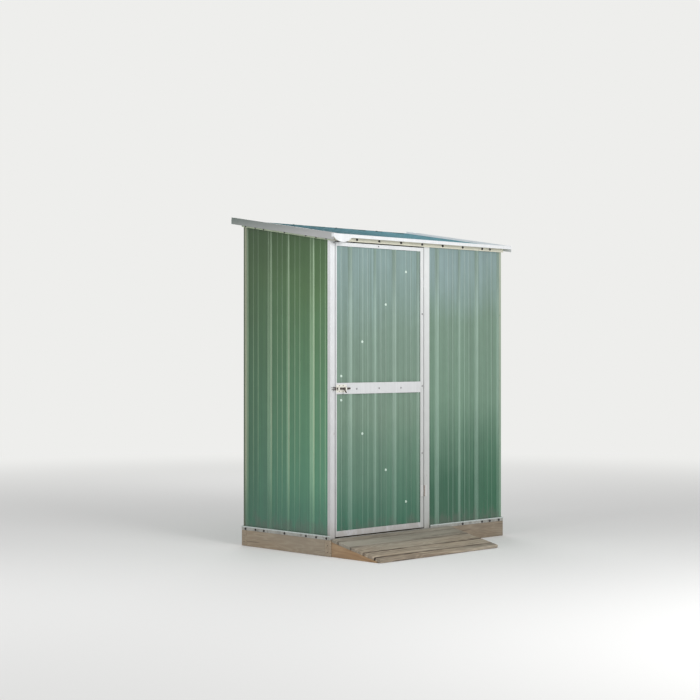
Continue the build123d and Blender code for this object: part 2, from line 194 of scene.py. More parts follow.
# Heights over the flats between which a slight rib, a rib's flank and a crest come in
SLIGHT_RISE, FLANK_RISE, CREST_RISE = (0.8 * MM, 1.8 * MM), (1.6 * MM, 3.0 * MM), (3.0 * MM, 5.5 * MM)
# How far a flank turns to the front, and how high it is, between which it gets a painted highlight
HIGHLIGHT_TURN, HIGHLIGHT_RISE = (0.3, 0.6), (0.15, 0.75)
CANNING_DEPTH, PEEL_DEPTH = 0.9 * MM, 0.015 * MM


def tones_at_heights(tones, heights):
    """The paint's sockets for four tones, each reached at its height."""
    return dict(zip(TONES + FADES, (*tones, *heights)))


def paint_group():
    """Baked paint: tones by height that carry painted reflection and shade, painted highlights on
    crests and on flanks turned to the front, streaks, soil and a back coat.
    """
    grey = (0.5, 0.5, 0.5, 1.0)
    graph, given, out = new_group("Painted steel", {
        **tones_at_heights([grey] * 4, (0.1, 0.7, 1.3, 1.9)), "Uneven": 0.4, "Shade": 1.0,
        "Crest": (0.0, 0.0, 0.0, 1.0), "Raised": 0.0, "Slight": 0.72,
        "Crest Top": 9.0, "Crest Blend": 0.4, "Crest Upper": grey, "Crest Upper Amount": 0.0,
        "Sunward": grey, "Sunward Amount": 0.0, "Patch": grey, "Patch Amount": 0.0, "Streaks": 0.05,
        "Soil": grey, "Soil Top": 0.3, "Soil Amount": 0.3, "Roughness": 0.4,
        "Outward": (0.0, 0.0, 0.0), "Back Coat": grey})
    coords = graph.add("ShaderNodeTexCoord").outputs
    place = coords["Object"]
    height = graph.add("ShaderNodeSeparateXYZ", {"Vector": place}).outputs["Z"]
    fine = graph.noise(graph.stretch(place, FINE_STREAKS), 1.0, 4.0, 0.65)
    fine = graph.ramp(fine, 0.3, 0.7, -1.0, 1.0, False)
    broad = graph.noise(graph.stretch(place, BROAD_STREAKS), 1.0, 2.0)
    streak = graph.math("MULTIPLY_ADD", graph.ramp(broad, 0.3, 0.7, -1.0, 1.0, False), 0.4, fine)

    cloud = graph.minus(graph.noise(place, CLOUDS, 3.0), 0.5)
    level = graph.math("MULTIPLY_ADD", cloud, given["Uneven"], height)
    level = graph.math("MULTIPLY_ADD", fine, graph.times(given["Uneven"], 0.2), level)
    color = given["Paint"]
    for start, end, tone in zip(FADES, FADES[1:], TONES[1:]):
        color = graph.mix(graph.ramp(level, given[start], given[end], smooth=False), color, given[tone])

    # Painted highlight: slight ribs and rib crests get a lighter tone
    slight = graph.times(graph.ramp(given["Raised"], *SLIGHT_RISE), given["Slight"])
    crest = graph.math("MAXIMUM", slight, graph.ramp(given["Raised"], *CREST_RISE))
    lower = graph.ramp(graph.minus(given["Crest Top"], height), 0.0, given["Crest Blend"])
    color = graph.mix(graph.times(crest, lower), color, given["Crest"], "ADD")
    upper = graph.times(graph.minus(1.0, lower), given["Crest Upper Amount"])
    color = graph.mix(graph.times(crest, upper), color, given["Crest Upper"])
    # Painted highlight: flanks turned to the front get a lighter tone
    turned = graph.dot(coords["Normal"], (0.0, -1.0, 0.0))
    flank_highlight = graph.times(graph.ramp(turned, *HIGHLIGHT_TURN), given["Sunward Amount"])
    flank_highlight = graph.times(flank_highlight, graph.ramp(height, *HIGHLIGHT_RISE, 0.12, 1.0, False))
    rib = graph.math("MAXIMUM", graph.ramp(given["Raised"], *FLANK_RISE), lower)
    color = graph.mix(graph.times(flank_highlight, rib), color, given["Sunward"])
    color = graph.mix(given["Patch Amount"], color, given["Patch"])

    shade = graph.math("MULTIPLY_ADD", streak, given["Streaks"], given["Shade"])
    mottle = graph.ramp(graph.noise(place, MOTTLE, 4.0), 0.3, 0.7, 0.97, 1.03, False)
    color = graph.mix(1.0, color, graph.times(shade, mottle), "MULTIPLY")

    patches = graph.noise(graph.stretch(place, SPLASHES), 1.0, 5.0, 0.65)
    reach = graph.times(given["Soil Top"], graph.ramp(patches, 0.25, 0.75, 0.35, 1.0))
    low = graph.ramp(height, deck_top, reach, 1.0, 0.0)
    soil = graph.times(low, given["Soil Amount"])
    color = graph.mix(soil, color, given["Soil"])

    inside = graph.math("LESS_THAN", graph.dot(coords["Normal"], given["Outward"]), -0.02)
    back = graph.mix(1.0, given["Back Coat"], mottle, "MULTIPLY")
    graph.feed(out["Color"], graph.mix(inside, color, back))

    dull = graph.math("MULTIPLY_ADD", streak, 0.035, given["Roughness"])
    graph.feed(out["Roughness"], graph.math("MULTIPLY_ADD", soil, 0.3, dull, clamp=True))
    canning = graph.noise(graph.stretch(place, CANNING), 1.0, 1.0)
    peel = graph.noise(place, PEEL, 1.0)
    swell = graph.times(canning, CANNING_DEPTH)
    graph.feed(out["Height"], graph.math("MULTIPLY_ADD", peel, PEEL_DEPTH, swell))
    return graph.tree


# Timber: scales per metre along and across the grain, a board's shift, depths and dark tones
RINGS, FIBRES, KNOTS = (1.1, 7.0, 7.0), (9.0, 330.0, 330.0), (2.3, 11.0, 11.0)
BLOOM, SPLITS = (1.5, 5.0, 5.0), (3.0, 150.0, 150.0)
BOARD_SHIFT = {"X": 7.13, "Y": 1.71, "Z": 0.37}
FIBRE_DEPTH, RING_DEPTH, CRACK_DEPTH = 0.5 * MM, 0.25 * MM, 1.2 * MM
CRACK_DARK, GRIME_DARK = (0.03, 0.022, 0.016, 1.0), (0.045, 0.032, 0.022, 1.0)


def timber_group():
    """Sawn softwood: growth rings, fibres, knots, drying cracks and a silver bloom, along Grain's X."""
    graph, given, out = new_group("Sawn timber", {
        "Grain": (0.0, 0.0, 0.0), "Board": 0.0, "Light": (0.5, 0.4, 0.3, 1), "Dark": (0.3, 0.2, 0.1, 1),
        "Silver": (0.4, 0.4, 0.4, 1), "Silver Amount": 0.3, "Cracks": 0.5, "Grime": 0.0, "Depth": 1.0})
    apart = graph.add("ShaderNodeCombineXYZ", {
        axis: graph.times(given["Board"], shift) for axis, shift in BOARD_SHIFT.items()})
    apart = apart.outputs[0]
    place = graph.add("ShaderNodeVectorMath", {0: given["Grain"], 1: apart}, operation="ADD").outputs[0]
    warp = graph.noise(graph.stretch(place, RINGS), 1.0, 3.0, 0.55)
    rings = graph.math("ABSOLUTE", graph.math("SINE", graph.times(warp, 60.0)))
    fibre = graph.noise(graph.stretch(place, FIBRES), 1.0, 3.0, 0.6)
    knots = graph.add("ShaderNodeTexVoronoi", {"Vector": graph.stretch(place, KNOTS), "Scale": 1.0,
                                               "Randomness": 1.0}).outputs["Distance"]
    knot = graph.ramp(knots, 0.05, 0.15, 1.0, 0.0)
    tone = graph.math("MULTIPLY_ADD", rings, 0.45, graph.times(fibre, 0.5))
    tone = graph.math("MAXIMUM", tone, graph.times(knot, 0.95), clamp=True)
    color = graph.mix(tone, given["Light"], given["Dark"])
    own = graph.add("ShaderNodeTexWhiteNoise", {"W": given["Board"]}, noise_dimensions="1D").outputs[0]
    color = graph.mix(1.0, color, graph.ramp(own, 0.0, 1.0, 0.88, 1.1, False), "MULTIPLY")
    bloom = graph.ramp(graph.noise(graph.stretch(place, BLOOM), 1.0, 4.0), 0.3, 0.65)
    color = graph.mix(graph.times(bloom, given["Silver Amount"]), color, given["Silver"])
    split = graph.noise(graph.stretch(place, SPLITS), 1.0, 2.0)
    crack = graph.times(graph.ramp(split, 0.66, 0.74), given["Cracks"])
    color = graph.mix(crack, color, CRACK_DARK)
    color = graph.mix(given["Grime"], color, GRIME_DARK)
    graph.feed(out["Color"], color)
    graph.feed(out["Roughness"], graph.ramp(fibre, 0.2, 0.8, 0.68, 0.9, False))
    relief = graph.math("MULTIPLY_ADD", fibre, FIBRE_DEPTH, graph.times(rings, RING_DEPTH))
    relief = graph.minus(relief, graph.times(crack, CRACK_DEPTH))
    graph.feed(out["Height"], graph.times(relief, given["Depth"]))
    return graph.tree


FLAKES_PER_M = 130.0
ROLLING_LINES, LINE_DEPTH = (30.0, 900.0, 900.0), 0.02 * MM


def metal_group():
    """Bare or plated steel: zinc spangle, fine rolling lines and grime that gathers in patches."""
    graph, given, out = new_group("Bare steel", {
        "Metal": (0.6, 0.6, 0.6, 1), "Grime": (0.1, 0.1, 0.1, 1), "Spangle": 0.1, "Grime Amount": 0.3,
        "Patch Size": 20.0, "Roughness": 0.35})
    place = graph.place()
    flake = graph.add("ShaderNodeTexVoronoi", {"Vector": place, "Scale": FLAKES_PER_M}).outputs["Color"]
    flake = graph.add("ShaderNodeSeparateColor", {"Color": flake}).outputs[0]
    lines = graph.noise(graph.stretch(place, ROLLING_LINES), 1.0, 2.0)
    swing = graph.times(graph.minus(flake, 0.5), given["Spangle"])
    color = graph.mix(1.0, given["Metal"], graph.math("ADD", 1.0, swing), "MULTIPLY")
    patch = graph.noise(place, given["Patch Size"], 5.0, 0.7)
    grime = graph.times(graph.ramp(patch, 0.42, 0.72), given["Grime Amount"])
    graph.feed(out["Color"], graph.mix(grime, color, given["Grime"]))
    rough = graph.math("MULTIPLY_ADD", grime, 0.35, given["Roughness"])
    graph.feed(out["Roughness"], graph.math("MULTIPLY_ADD", swing, 0.3, rough, clamp=True))
    graph.feed(out["Height"], graph.times(lines, LINE_DEPTH))
    return graph.tree


paint_nodes = paint_group()
timber_nodes = timber_group()
metal_nodes = metal_group()


def finish_material(name, group, sockets, **shader):
    """A material whose Principled shader takes colour, roughness and bump from one group."""
    material = bpy.data.materials.new(name)
    material.use_nodes = True
    graph = Graph(material.node_tree)
    surface = material.node_tree.nodes["Principled BSDF"]
    for label, value in shader.items():
        surface.inputs[label.replace("_", " ")].default_value = value
    effect = graph.add("ShaderNodeGroup", node_tree=group)
    for label, value in sockets(graph).items() if callable(sockets) else sockets.items():
        graph.feed(effect.inputs[label], value)
    bump = graph.add("ShaderNodeBump", {"Height": effect.outputs["Height"], "Strength": 1.0,
                                        "Distance": 1.0})
    graph.feed(surface.inputs["Base Color"], effect.outputs["Color"])
    graph.feed(surface.inputs["Roughness"], effect.outputs["Roughness"])
    graph.feed(surface.inputs["Normal"], bump.outputs["Normal"])
    return material


SOIL = srgb(122, 108, 86)
GREY_SOIL = srgb(98, 96, 92)


def sheet_paint(name, outward, plane, tones, fade_at, crest, gloss=0.45, **extra):
    """Sheet paint: its flats, which lie in a plane that faces outward, go through four tones."""
    def sockets(graph):
        raised = graph.minus(graph.dot(graph.place(), outward), plane)
        values = {**tones_at_heights(tones, fade_at), "Crest": crest, "Raised": raised, "Streaks": 0.15,
                  "Soil": GREY_SOIL, "Soil Top": 0.3, "Soil Amount": 0.5, "Roughness": 0.38,
                  "Outward": outward, "Back Coat": srgb(150, 158, 148)}
        values.update({label.replace("_", " "): value for label, value in extra.items()})
        return {label: value(graph) if callable(value) else value for label, value in values.items()}
    return finish_material(name, paint_nodes, sockets, Specular_IOR_Level=gloss)


# Heights, and places along the walls, between which the sheets' shades and masks change
FOOT_SHADE, SHADED_FOOT, CREAM_RISE, SLIGHT_FALL = (0.16, 0.45), (0.35, 0.95), (0.1, 0.6), (0.4, 1.5)
SHADED_SPREAD = 0.45
CREAM_FROM, CREAM_FULL = wall_y - 36 * MM, wall_y - 31 * MM


def side_shade(at_foot, at_front, at_back):
    """A painted shade: a side wall is lighter towards its front corner and darker towards its back
    corner, with a darker front foot.
    """
    def value(graph):
        place = graph.axes()
        front = graph.ramp(place["Z"], *FOOT_SHADE, at_foot, at_front)
        return graph.ramp(place["Y"], -wall_y, wall_y, front, at_back, False)
    return value


def right_foot(start, amount):
    """A mask over a front panel's foot that grows to the right, where painted shade turns the paint a
    darker green.
    """
    def value(graph):
        place = graph.axes()
        right = graph.ramp(place["X"], start, start + SHADED_SPREAD, 0.0, amount)
        return graph.times(right, graph.ramp(place["Z"], *SHADED_FOOT, 1.0, 0.0))
    return value


def back_edge(amount):
    """A mask of the last stretch of a side wall, up to the angle at its back corner."""
    def value(graph):
        place = graph.axes()
        last = graph.ramp(place["Y"], CREAM_FROM, CREAM_FULL, 0.0, amount)
        return graph.times(last, graph.ramp(place["Z"], *CREAM_RISE, 0.15, 1.0))
    return value


def stronger_below(at_foot, above):
    """A share that is greatest at the foot of a wall and falls evenly with height."""
    return lambda graph: graph.ramp(graph.axes()["Z"], *SLIGHT_FALL, at_foot, above, False)


def crest_from_foot(color, share, low, high):
    """A crest's lift that is a share of its colour at the foot of a wall and full from a height on."""
    def value(graph):
        height = graph.axes()["Z"]
        at_foot = tuple(share * part for part in color[:3]) + (1.0,)
        return graph.mix(graph.ramp(height, low, high), at_foot, color)
    return value


def along_x(at_left, at_right):
    """A painted reflection and shade that changes evenly from the left end until well past the middle.
    """
    ends = (-wall_x, 0.6 * wall_x, at_left, at_right, False)
    return lambda graph: graph.ramp(graph.axes()["X"], *ends)


def trim_paint(name, low, high, soil=0.0, roughness=0.36, between=(0.1, 1.9), gloss=0.5):
    """Paint on folded trims: one tone at a low height that turns evenly to another at a high one."""
    shares = (0.0, 1 / 3, 2 / 3, 1.0)
    tones = [tuple(x + (y - x) * share for x, y in zip(low, high)) for share in shares]
    climb = between[1] - between[0]
    return finish_material(name, paint_nodes, {
        **tones_at_heights(tones, [between[0] + climb * share for share in shares]), "Streaks": 0.03,
        "Uneven": 0.2 * climb, "Soil": SOIL, "Soil Top": 0.26, "Soil Amount": soil,
        "Roughness": roughness}, Specular_IOR_Level=gloss)


# How far the lower hinge's worn barrel and the keeper's loop stand out of the door's face
WORN_RISE, LOOP_RISE = (1.8 * MM, 3.2 * MM), (1.8 * MM, 2.6 * MM)
WEAR_PER_M = 160.0


def hinge_paint():
    """White paint, worn through to brown steel on the barrel of the lower hinge."""
    def sockets(graph):
        place = graph.axes()
        lower = graph.math("LESS_THAN", place["Z"], mid_rail.z)
        stands = graph.minus(door_front, place["Y"])
        worn = graph.times(lower, graph.ramp(stands, *WORN_RISE, 0.0, 0.8))
        grain = graph.ramp(graph.noise(graph.place(), WEAR_PER_M, 4.0), 0.3, 0.6, 0.6, 1.0)
        # The white darkens towards the foot: painted shade
        tones = (srgb(184, 184, 182), srgb(196, 197, 196), srgb(206, 208, 208), srgb(216, 218, 218))
        return {**dict(zip(TONES, tones)), "Patch": srgb(112, 96, 84),
                "Patch Amount": graph.times(worn, grain), "Streaks": 0.018, "Soil Amount": 0.0,
                "Roughness": 0.4}
    return finish_material("hinge_paint", paint_nodes, sockets, Specular_IOR_Level=0.5)


def keeper_paint():
    """White keeper plate with a dark steel loop standing out of it."""
    def sockets(graph):
        stands = graph.minus(door_front, graph.axes()["Y"])
        return {**dict.fromkeys(TONES, srgb(206, 207, 206)), "Patch": srgb(66, 58, 56),
                "Patch Amount": graph.ramp(stands, *LOOP_RISE), "Soil Amount": 0.0, "Roughness": 0.36}
    return finish_material("keeper_paint", paint_nodes, sockets, Specular_IOR_Level=0.5)


def board_timber(name, grain, light, dark, silver, silver_amount, cracks, depth=1.0, grime=None):
    """Timber whose grain runs along X, or along Y where grain says so; grime gives a mask that darkens
    it.
    """
    turn = {"x": (0.0, 0.0, 0.0), "y": (0.0, 0.0, math.radians(90))}[grain]

    def sockets(graph):
        along = graph.add("ShaderNodeMapping", {"Vector": graph.place(), "Rotation": turn})
        return {"Grain": along.outputs["Vector"], "Light": light, "Dark": dark, "Silver": silver,
                "Silver Amount": silver_amount, "Cracks": cracks, "Depth": depth,
                "Grime": grime(graph) if grime else 0.0}
    return finish_material(name, timber_nodes, sockets, Specular_IOR_Level=0.3)


DARKEN_SPREAD, DARKEN_PATCHES = (-0.2, 0.6), (5.0, 5.0, 18.0)


def darker_right_side(graph):
    """A patchy mask that darkens the timber towards the right end of the shed."""
    damp = graph.ramp(graph.axes()["X"], *DARKEN_SPREAD, 0.0, 0.42)
    patchy = graph.noise(graph.stretch(graph.place(), DARKEN_PATCHES), 1.0, 4.0)
    return graph.times(graph.ramp(patchy, 0.3, 0.7, 0.5, 1.0), damp)


# Ramp boards: a slope down from the channel, cut across into boards
RAMP_TOP = 102 * MM
RAMP_RUN = 392 * MM
RAMP_BOARD_T = 18 * MM
RAMP_GAP = 4 * MM
RAMP_SHARES = (53, 101, 102, 87, 42)
# Dirt at each joint from the head down, its reach, the trodden stretch, and noise scales
JOINT_DIRT, JOINT_REACH, TRODDEN = (0.7, 0.5, 1.0, 1.0), (3.0 * MM, 10 * MM), (120 * MM, 300 * MM)
JOINT_PATCHES, WEATHERING = (7.0, 40.0, 40.0), (3.0, 55.0, 55.0)
ramp_low, ramp_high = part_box("ramp_boards")
ramp_tilt = math.atan((RAMP_TOP - RAMP_BOARD_T) / RAMP_RUN)
ramp_down = Vector((0.0, -math.cos(ramp_tilt), -math.sin(ramp_tilt)))
ramp_up = Vector((0.0, -math.sin(ramp_tilt), math.cos(ramp_tilt)))
ramp_head = Vector((ramp_low.x, ramp_high.y, RAMP_TOP))
ramp_timber_w = RAMP_RUN / math.cos(ramp_tilt) - (len(RAMP_SHARES) - 1) * RAMP_GAP
ramp_edges = []
edge_at = 0.0
for share in RAMP_SHARES:
    board_w = ramp_timber_w * share / sum(RAMP_SHARES)
    ramp_edges.append((edge_at, edge_at + board_w))
    edge_at += board_w + RAMP_GAP


def ramp_timber():
    """Weathered boards, each with its own tone, streaked, paler where trodden, dirty at joints."""
    def sockets(graph):
        place = graph.place()
        along = graph.dot(place, tuple(ramp_down))
        from_head = graph.minus(along, ramp_head.dot(ramp_down))
        board, dirt = 0.0, 0.0
        for (start, end), amount in zip(ramp_edges[:-1], JOINT_DIRT):
            joint = end + RAMP_GAP / 2
            board = graph.math("ADD", board, graph.math("GREATER_THAN", from_head, joint))
            away = graph.math("ABSOLUTE", graph.minus(from_head, joint))
            dirt = graph.math("MAXIMUM", dirt, graph.ramp(away, *JOINT_REACH, amount, 0.0))
        patchy = graph.noise(graph.stretch(place, JOINT_PATCHES), 1.0, 3.0)
        patchy = graph.ramp(patchy, 0.35, 0.65, 0.35, 1.0)
        trodden = graph.ramp(from_head, *TRODDEN)
        streaks = graph.noise(graph.stretch(place, WEATHERING), 1.0, 4.0, 0.6)
        swing = graph.ramp(streaks, 0.3, 0.7, -1.0, 1.0, False)
        uneven = graph.math("MULTIPLY_ADD", swing, graph.ramp(trodden, 0.0, 1.0, 0.14, 0.34), 1.0)

        def streaked(color):
            return graph.mix(1.0, color, uneven, "MULTIPLY")
        return {"Grain": place, "Board": board,
                "Light": streaked(graph.mix(trodden, srgb(152, 144, 130), srgb(174, 161, 142))),
                "Dark": streaked(graph.mix(trodden, srgb(110, 102, 92), srgb(120, 104, 88))),
                "Silver": streaked(srgb(156, 152, 140)), "Cracks": 0.75,
                "Silver Amount": graph.ramp(from_head, *TRODDEN, 0.65, 0.4),
                "Grime": graph.times(dirt, patchy)}
    return finish_material("ramp_timber", timber_nodes, sockets, Specular_IOR_Level=0.3)


CHANNEL_FOLD = (channel_high.z - 9 * MM, channel_high.z - 4 * MM)


def channel_zinc():
    """Zinc with a painted highlight along its top fold, and a greyer face below that dirt and painted
    shade darken.
    """
    def sockets(graph):
        fold = graph.ramp(graph.axes()["Z"], *CHANNEL_FOLD)
        return {"Metal": graph.mix(fold, srgb(168, 168, 163), srgb(196, 205, 203)),
                "Grime": srgb(88, 84, 76), "Grime Amount": graph.ramp(fold, 0.0, 1.0, 0.6, 0.15),
                "Roughness": 0.42, "Spangle": 0.16, "Patch Size": 17.0}
    return finish_material("zinc", metal_nodes, sockets, Metallic=0.65)


def bare_metal(name, metal, grime, grime_amount, roughness, patches, metallic):
    """Plated, coated or rusting steel, or a washer's rubber, without spangle."""
    return finish_material(name, metal_nodes, {
        "Metal": metal, "Grime": grime, "Grime Amount": grime_amount, "Roughness": roughness,
        "Spangle": 0.0, "Patch Size": patches}, Metallic=metallic)


# Tones of the sheets' flats, from the foot to the top, with painted light: painted sky reflection pales
# the upper front and door, painted shade darkens their foot, painted shadow under the eaves darkens the
# top of the side and back walls
FRONT_TONES = (srgb(46, 91, 69), srgb(100, 129, 110), srgb(105, 130, 114), srgb(125, 146, 146))
DOOR_TONES = (srgb(50, 101, 81), srgb(102, 127, 110), srgb(108, 131, 118), srgb(123, 145, 143))
SIDE_TONES = (srgb(69, 120, 99), srgb(72, 114, 86), srgb(65, 95, 59), srgb(50, 77, 42))
# The roof's blue teal is part paint and part painted sky reflection
ROOF_TONES = (srgb(78, 120, 127), srgb(78, 121, 130), srgb(79, 123, 133), srgb(80, 125, 136))
# Heights at which the flats reach those tones
FRONT_FADE, DOOR_FADE = (0.36, 0.85, 1.35, 1.75), (0.12, 0.8, 1.3, 1.75)
SIDE_FADE = (0.12, 0.8, 1.6, 1.92)
# Painted highlights that the rib crests add to their tone
FRONT_CREST, SIDE_CREST = (0.078, 0.096, 0.087, 1.0), (0.09, 0.115, 0.085, 1.0)
ROOF_CREST = (0.03, 0.04, 0.04, 1.0)
# Tones of the painted highlights on flanks turned to the front and on upper crests, of the painted
# shade at the feet, and of the pale back corners
FLANK_HIGHLIGHT = srgb(134, 154, 129)
OLIVE = srgb(112, 132, 112)
SHADED_GREEN = srgb(44, 97, 69)
CORNER_CREAM = srgb(176, 181, 156)
roof_out = (0.0, -math.sin(roof_slope), math.cos(roof_slope))
roof_plane = header_top(0.0) * math.cos(roof_slope) + sheet_t

# For the front and the door: olive painted highlights on the upper crests, and a darker green of
# painted shade at the feet
FRONT_LOOKS = {"Crest_Top": 1.78, "Crest_Upper": OLIVE, "Crest_Upper_Amount": 0.5,
               "Slight": stronger_below(1.0, 0.6), "Patch": SHADED_GREEN}
# For the side walls: painted highlights on flanks turned to the front, painted shade from front to
# back, and pale back corners
SIDE_LOOKS = {"Crest_Top": 2.2, "Crest_Blend": 1.2, "Sunward": FLANK_HIGHLIGHT, "Sunward_Amount": 0.85,
              "Shade": side_shade(1.02, 1.42, 0.74), "Patch": CORNER_CREAM,
              "Patch_Amount": back_edge(0.9)}
side_crest = crest_from_foot(SIDE_CREST, 0.3, 0.12, 0.6)

paint_front = sheet_paint("paint_front", (0, -1, 0), wall_y, FRONT_TONES, FRONT_FADE,
                          crest_from_foot(FRONT_CREST, 1.3, 0.3, 1.1),
                          Patch_Amount=right_foot(0.3, 0.5), **FRONT_LOOKS)
paint_door = sheet_paint("paint_door", (0, -1, 0), -door_pan, DOOR_TONES, DOOR_FADE,
                         crest_from_foot(FRONT_CREST, 0.8, 0.15, 0.9),
                         Patch_Amount=right_foot(-0.35, 0.32), **FRONT_LOOKS)
paint_back = sheet_paint("paint_back", (0, 1, 0), wall_y, SIDE_TONES, SIDE_FADE, SIDE_CREST)
paint_left = sheet_paint("paint_left", (-1, 0, 0), wall_x, SIDE_TONES, SIDE_FADE, side_crest,
                         **SIDE_LOOKS)
paint_right = sheet_paint("paint_right", (1, 0, 0), wall_x, SIDE_TONES, SIDE_FADE, side_crest,
                          **SIDE_LOOKS)
# The roof's shade along X is painted reflection and shade, brightening to the right
paint_roof = sheet_paint("paint_roof", roof_out, roof_plane, ROOF_TONES, SIDE_FADE, ROOF_CREST,
                         gloss=0.12, Soil_Amount=0.0, Roughness=0.58, Shade=along_x(0.48, 1.3))
# Painted shade: the back corner angles are darker than the front one
shaded_back_angle = trim_paint("shaded_back_angle", srgb(78, 98, 78), srgb(88, 98, 80), soil=0.35)
green_angle = trim_paint("green_angle", srgb(98, 134, 112), srgb(160, 168, 152), soil=0.35)
light_green = trim_paint("light_green", srgb(180, 194, 166), srgb(184, 198, 170))
roof_trim = trim_paint("roof_trim", srgb(62, 102, 105), srgb(68, 110, 114), roughness=0.5, gloss=0.25)
# The whites darken towards the foot: painted shade
white_trim = trim_paint("white_trim", srgb(181, 181, 182), srgb(218, 220, 222), soil=0.35)
shaded_white = trim_paint("shaded_white", srgb(168, 170, 168), srgb(216, 218, 218), soil=0.35)
# Both barges carry the same white paint: the left one's grey, darker still towards the back, is painted
# shade, and the right one's brighter white is painted light
barge_shaded_white = trim_paint("barge_shaded_white", srgb(168, 169, 169), srgb(99, 110, 105), roughness=0.5,
                        between=(1.86, 2.0), gloss=0.2)
barge_lit_white = trim_paint("barge_lit_white", srgb(232, 234, 236), srgb(232, 234, 236))
hinge_white = hinge_paint()
cream_trim = trim_paint("cream_trim", srgb(217, 214, 197), srgb(221, 218, 201))
zinc = channel_zinc()
keeper_steel = keeper_paint()
# Metal, grime, its amount, roughness, patches per metre, metallic share
plate_steel = bare_metal("plate_steel", srgb(226, 224, 214), srgb(110, 100, 88), 0.3, 0.42, 110.0, 0.25)
# The rod's dark tone is a painted reflection of dark ground on plated steel
rod_steel_dark_reflection = bare_metal("rod_steel_dark_reflection", srgb(92, 84, 80), srgb(58, 48, 44), 0.5, 0.36, 140.0, 0.75)
dark_screw = bare_metal("dark_screw", srgb(52, 52, 54), srgb(96, 70, 52), 0.35, 0.5, 220.0, 0.35)
rubber = bare_metal("rubber_washer", srgb(28, 28, 29), srgb(60, 56, 50), 0.4, 0.7, 160.0, 0.0)
grey_rivet = bare_metal("grey_rivet", srgb(132, 132, 134), srgb(84, 80, 76), 0.4, 0.42, 200.0, 0.6)
nail_steel = bare_metal("nail_steel", srgb(84, 76, 70), srgb(92, 52, 30), 0.7, 0.6, 300.0, 0.5)
pale_rivet = trim_paint("pale_rivet", srgb(186, 208, 194), srgb(206, 222, 212), roughness=0.3)
green_rivet = trim_paint("green_rivet", srgb(110, 146, 122), srgb(124, 152, 130))
RIM_SILVER = srgb(147, 141, 130)
# Light and dark wood, silver bloom, its amount, cracks
RIM_WOOD = (srgb(172, 158, 136), srgb(134, 116, 96), RIM_SILVER, 0.45, 0.6)
rim_along_x = board_timber("rim_along_x", "x", *RIM_WOOD, grime=darker_right_side)
rim_along_y = board_timber("rim_along_y", "y", *RIM_WOOD)
stringer_timber = board_timber("stringer_timber", "y", srgb(180, 150, 114), srgb(132, 100, 70),
                               RIM_SILVER, 0.2, 0.6)
ply = board_timber("ply", "x", srgb(190, 160, 118), srgb(150, 118, 80), srgb(150, 140, 120), 0.25, 0.2,
                   depth=0.5)
boards = ramp_timber()


def new_object(name, data):
    """An object in the scene for a mesh, a lamp or a camera."""
    thing = bpy.data.objects.new(name, data)
    bpy.context.scene.collection.objects.link(thing)
    return thing


def finish_mesh(bm, name, materials=()):
    """A mesh from a bmesh that is done with."""
    mesh = bpy.data.meshes.new(name)
    for material in materials:
        mesh.materials.append(material)
    bm.to_mesh(mesh)
    bm.free()
    return mesh


# Dressing the frame's own nodes
WELD = 0.005 * MM
FLAT_WITHIN = math.radians(0.5)


def dress(material, *names):
    """Give each node's mesh object one material."""
    for name in names:
        piece = nodes[name]
        if not piece.material_slots:
            piece.data.materials.append(material)
        for slot in piece.material_slots:
            slot.link = "OBJECT"
            slot.material = material


def ease(width, *names, segments=2):
    """Round the sharp edges of a node a little: weld, drop the flat triangles' seams, bevel."""
    for name in names:
        piece = nodes[name]
        weld = piece.modifiers.new("weld", "WELD")
        weld.merge_threshold = WELD
        flat = piece.modifiers.new("flat", "DECIMATE")
        flat.decimate_type = "DISSOLVE"
        flat.angle_limit = FLAT_WITHIN
        bevel = piece.modifiers.new("bevel", "BEVEL")
        bevel.width = width
        bevel.segments = segments
        bevel.limit_method = "ANGLE"
        bevel.angle_limit = math.radians(35)


dress(rim_along_x, "base_rim_front", "base_rim_back")
dress(rim_along_y, "base_rim_left", "base_rim_right", "base_joists")
dress(stringer_timber, "ramp_stringers")
dress(boards, "ramp_boards")
dress(ply, "floor_deck")
dress(zinc, "bottom_channel_front", "bottom_channel_back", "bottom_channel_left",
      "bottom_channel_right")
dress(cream_trim, "front_header")
dress(light_green, "top_channel_back", "top_channel_left", "top_channel_right")
dress(white_trim, "left_jamb", "front_fascia", "barge_corner_tab", "door_latch_stile", "door_top_rail",
      "door_bottom_rail", "door_mid_rail")
dress(shaded_white, "right_jamb", "door_hinge_stile")
dress(hinge_white, "hinge_jamb_leaves", "hinge_door_leaves")
dress(barge_shaded_white, "barge_left")
dress(barge_lit_white, "barge_right")
dress(green_angle, "corner_angle_front_right", "door_braces")
dress(shaded_back_angle, "corner_angle_back_left", "corner_angle_back_right")
dress(roof_trim, "back_cap")
dress(plate_steel, "bolt_plate")
dress(rod_steel_dark_reflection, "bolt_rod")
dress(keeper_steel, "bolt_keeper")
ease(2.5 * MM, "base_rim_front", "base_rim_back", "base_rim_left", "base_rim_right", "ramp_boards",
     segments=3)
ease(1.5 * MM, "base_joists", "ramp_stringers")


# Ribbed sheets, with the sharp folds of the frame rolled round
ROLL_WIDTH = 1.25 * MM
SHORTEST_FOLD = 300 * MM
FOLD_LEAST, FOLD_MOST = math.radians(8), math.radians(75)


def is_fold(edge):
    """A long edge between two flats that meet at a rib's angle, not the sheet's own cut edge."""
    if len(edge.link_faces) != 2 or edge.calc_length() < SHORTEST_FOLD:
        return False
    return FOLD_LEAST < edge.calc_face_angle(0.0) < FOLD_MOST


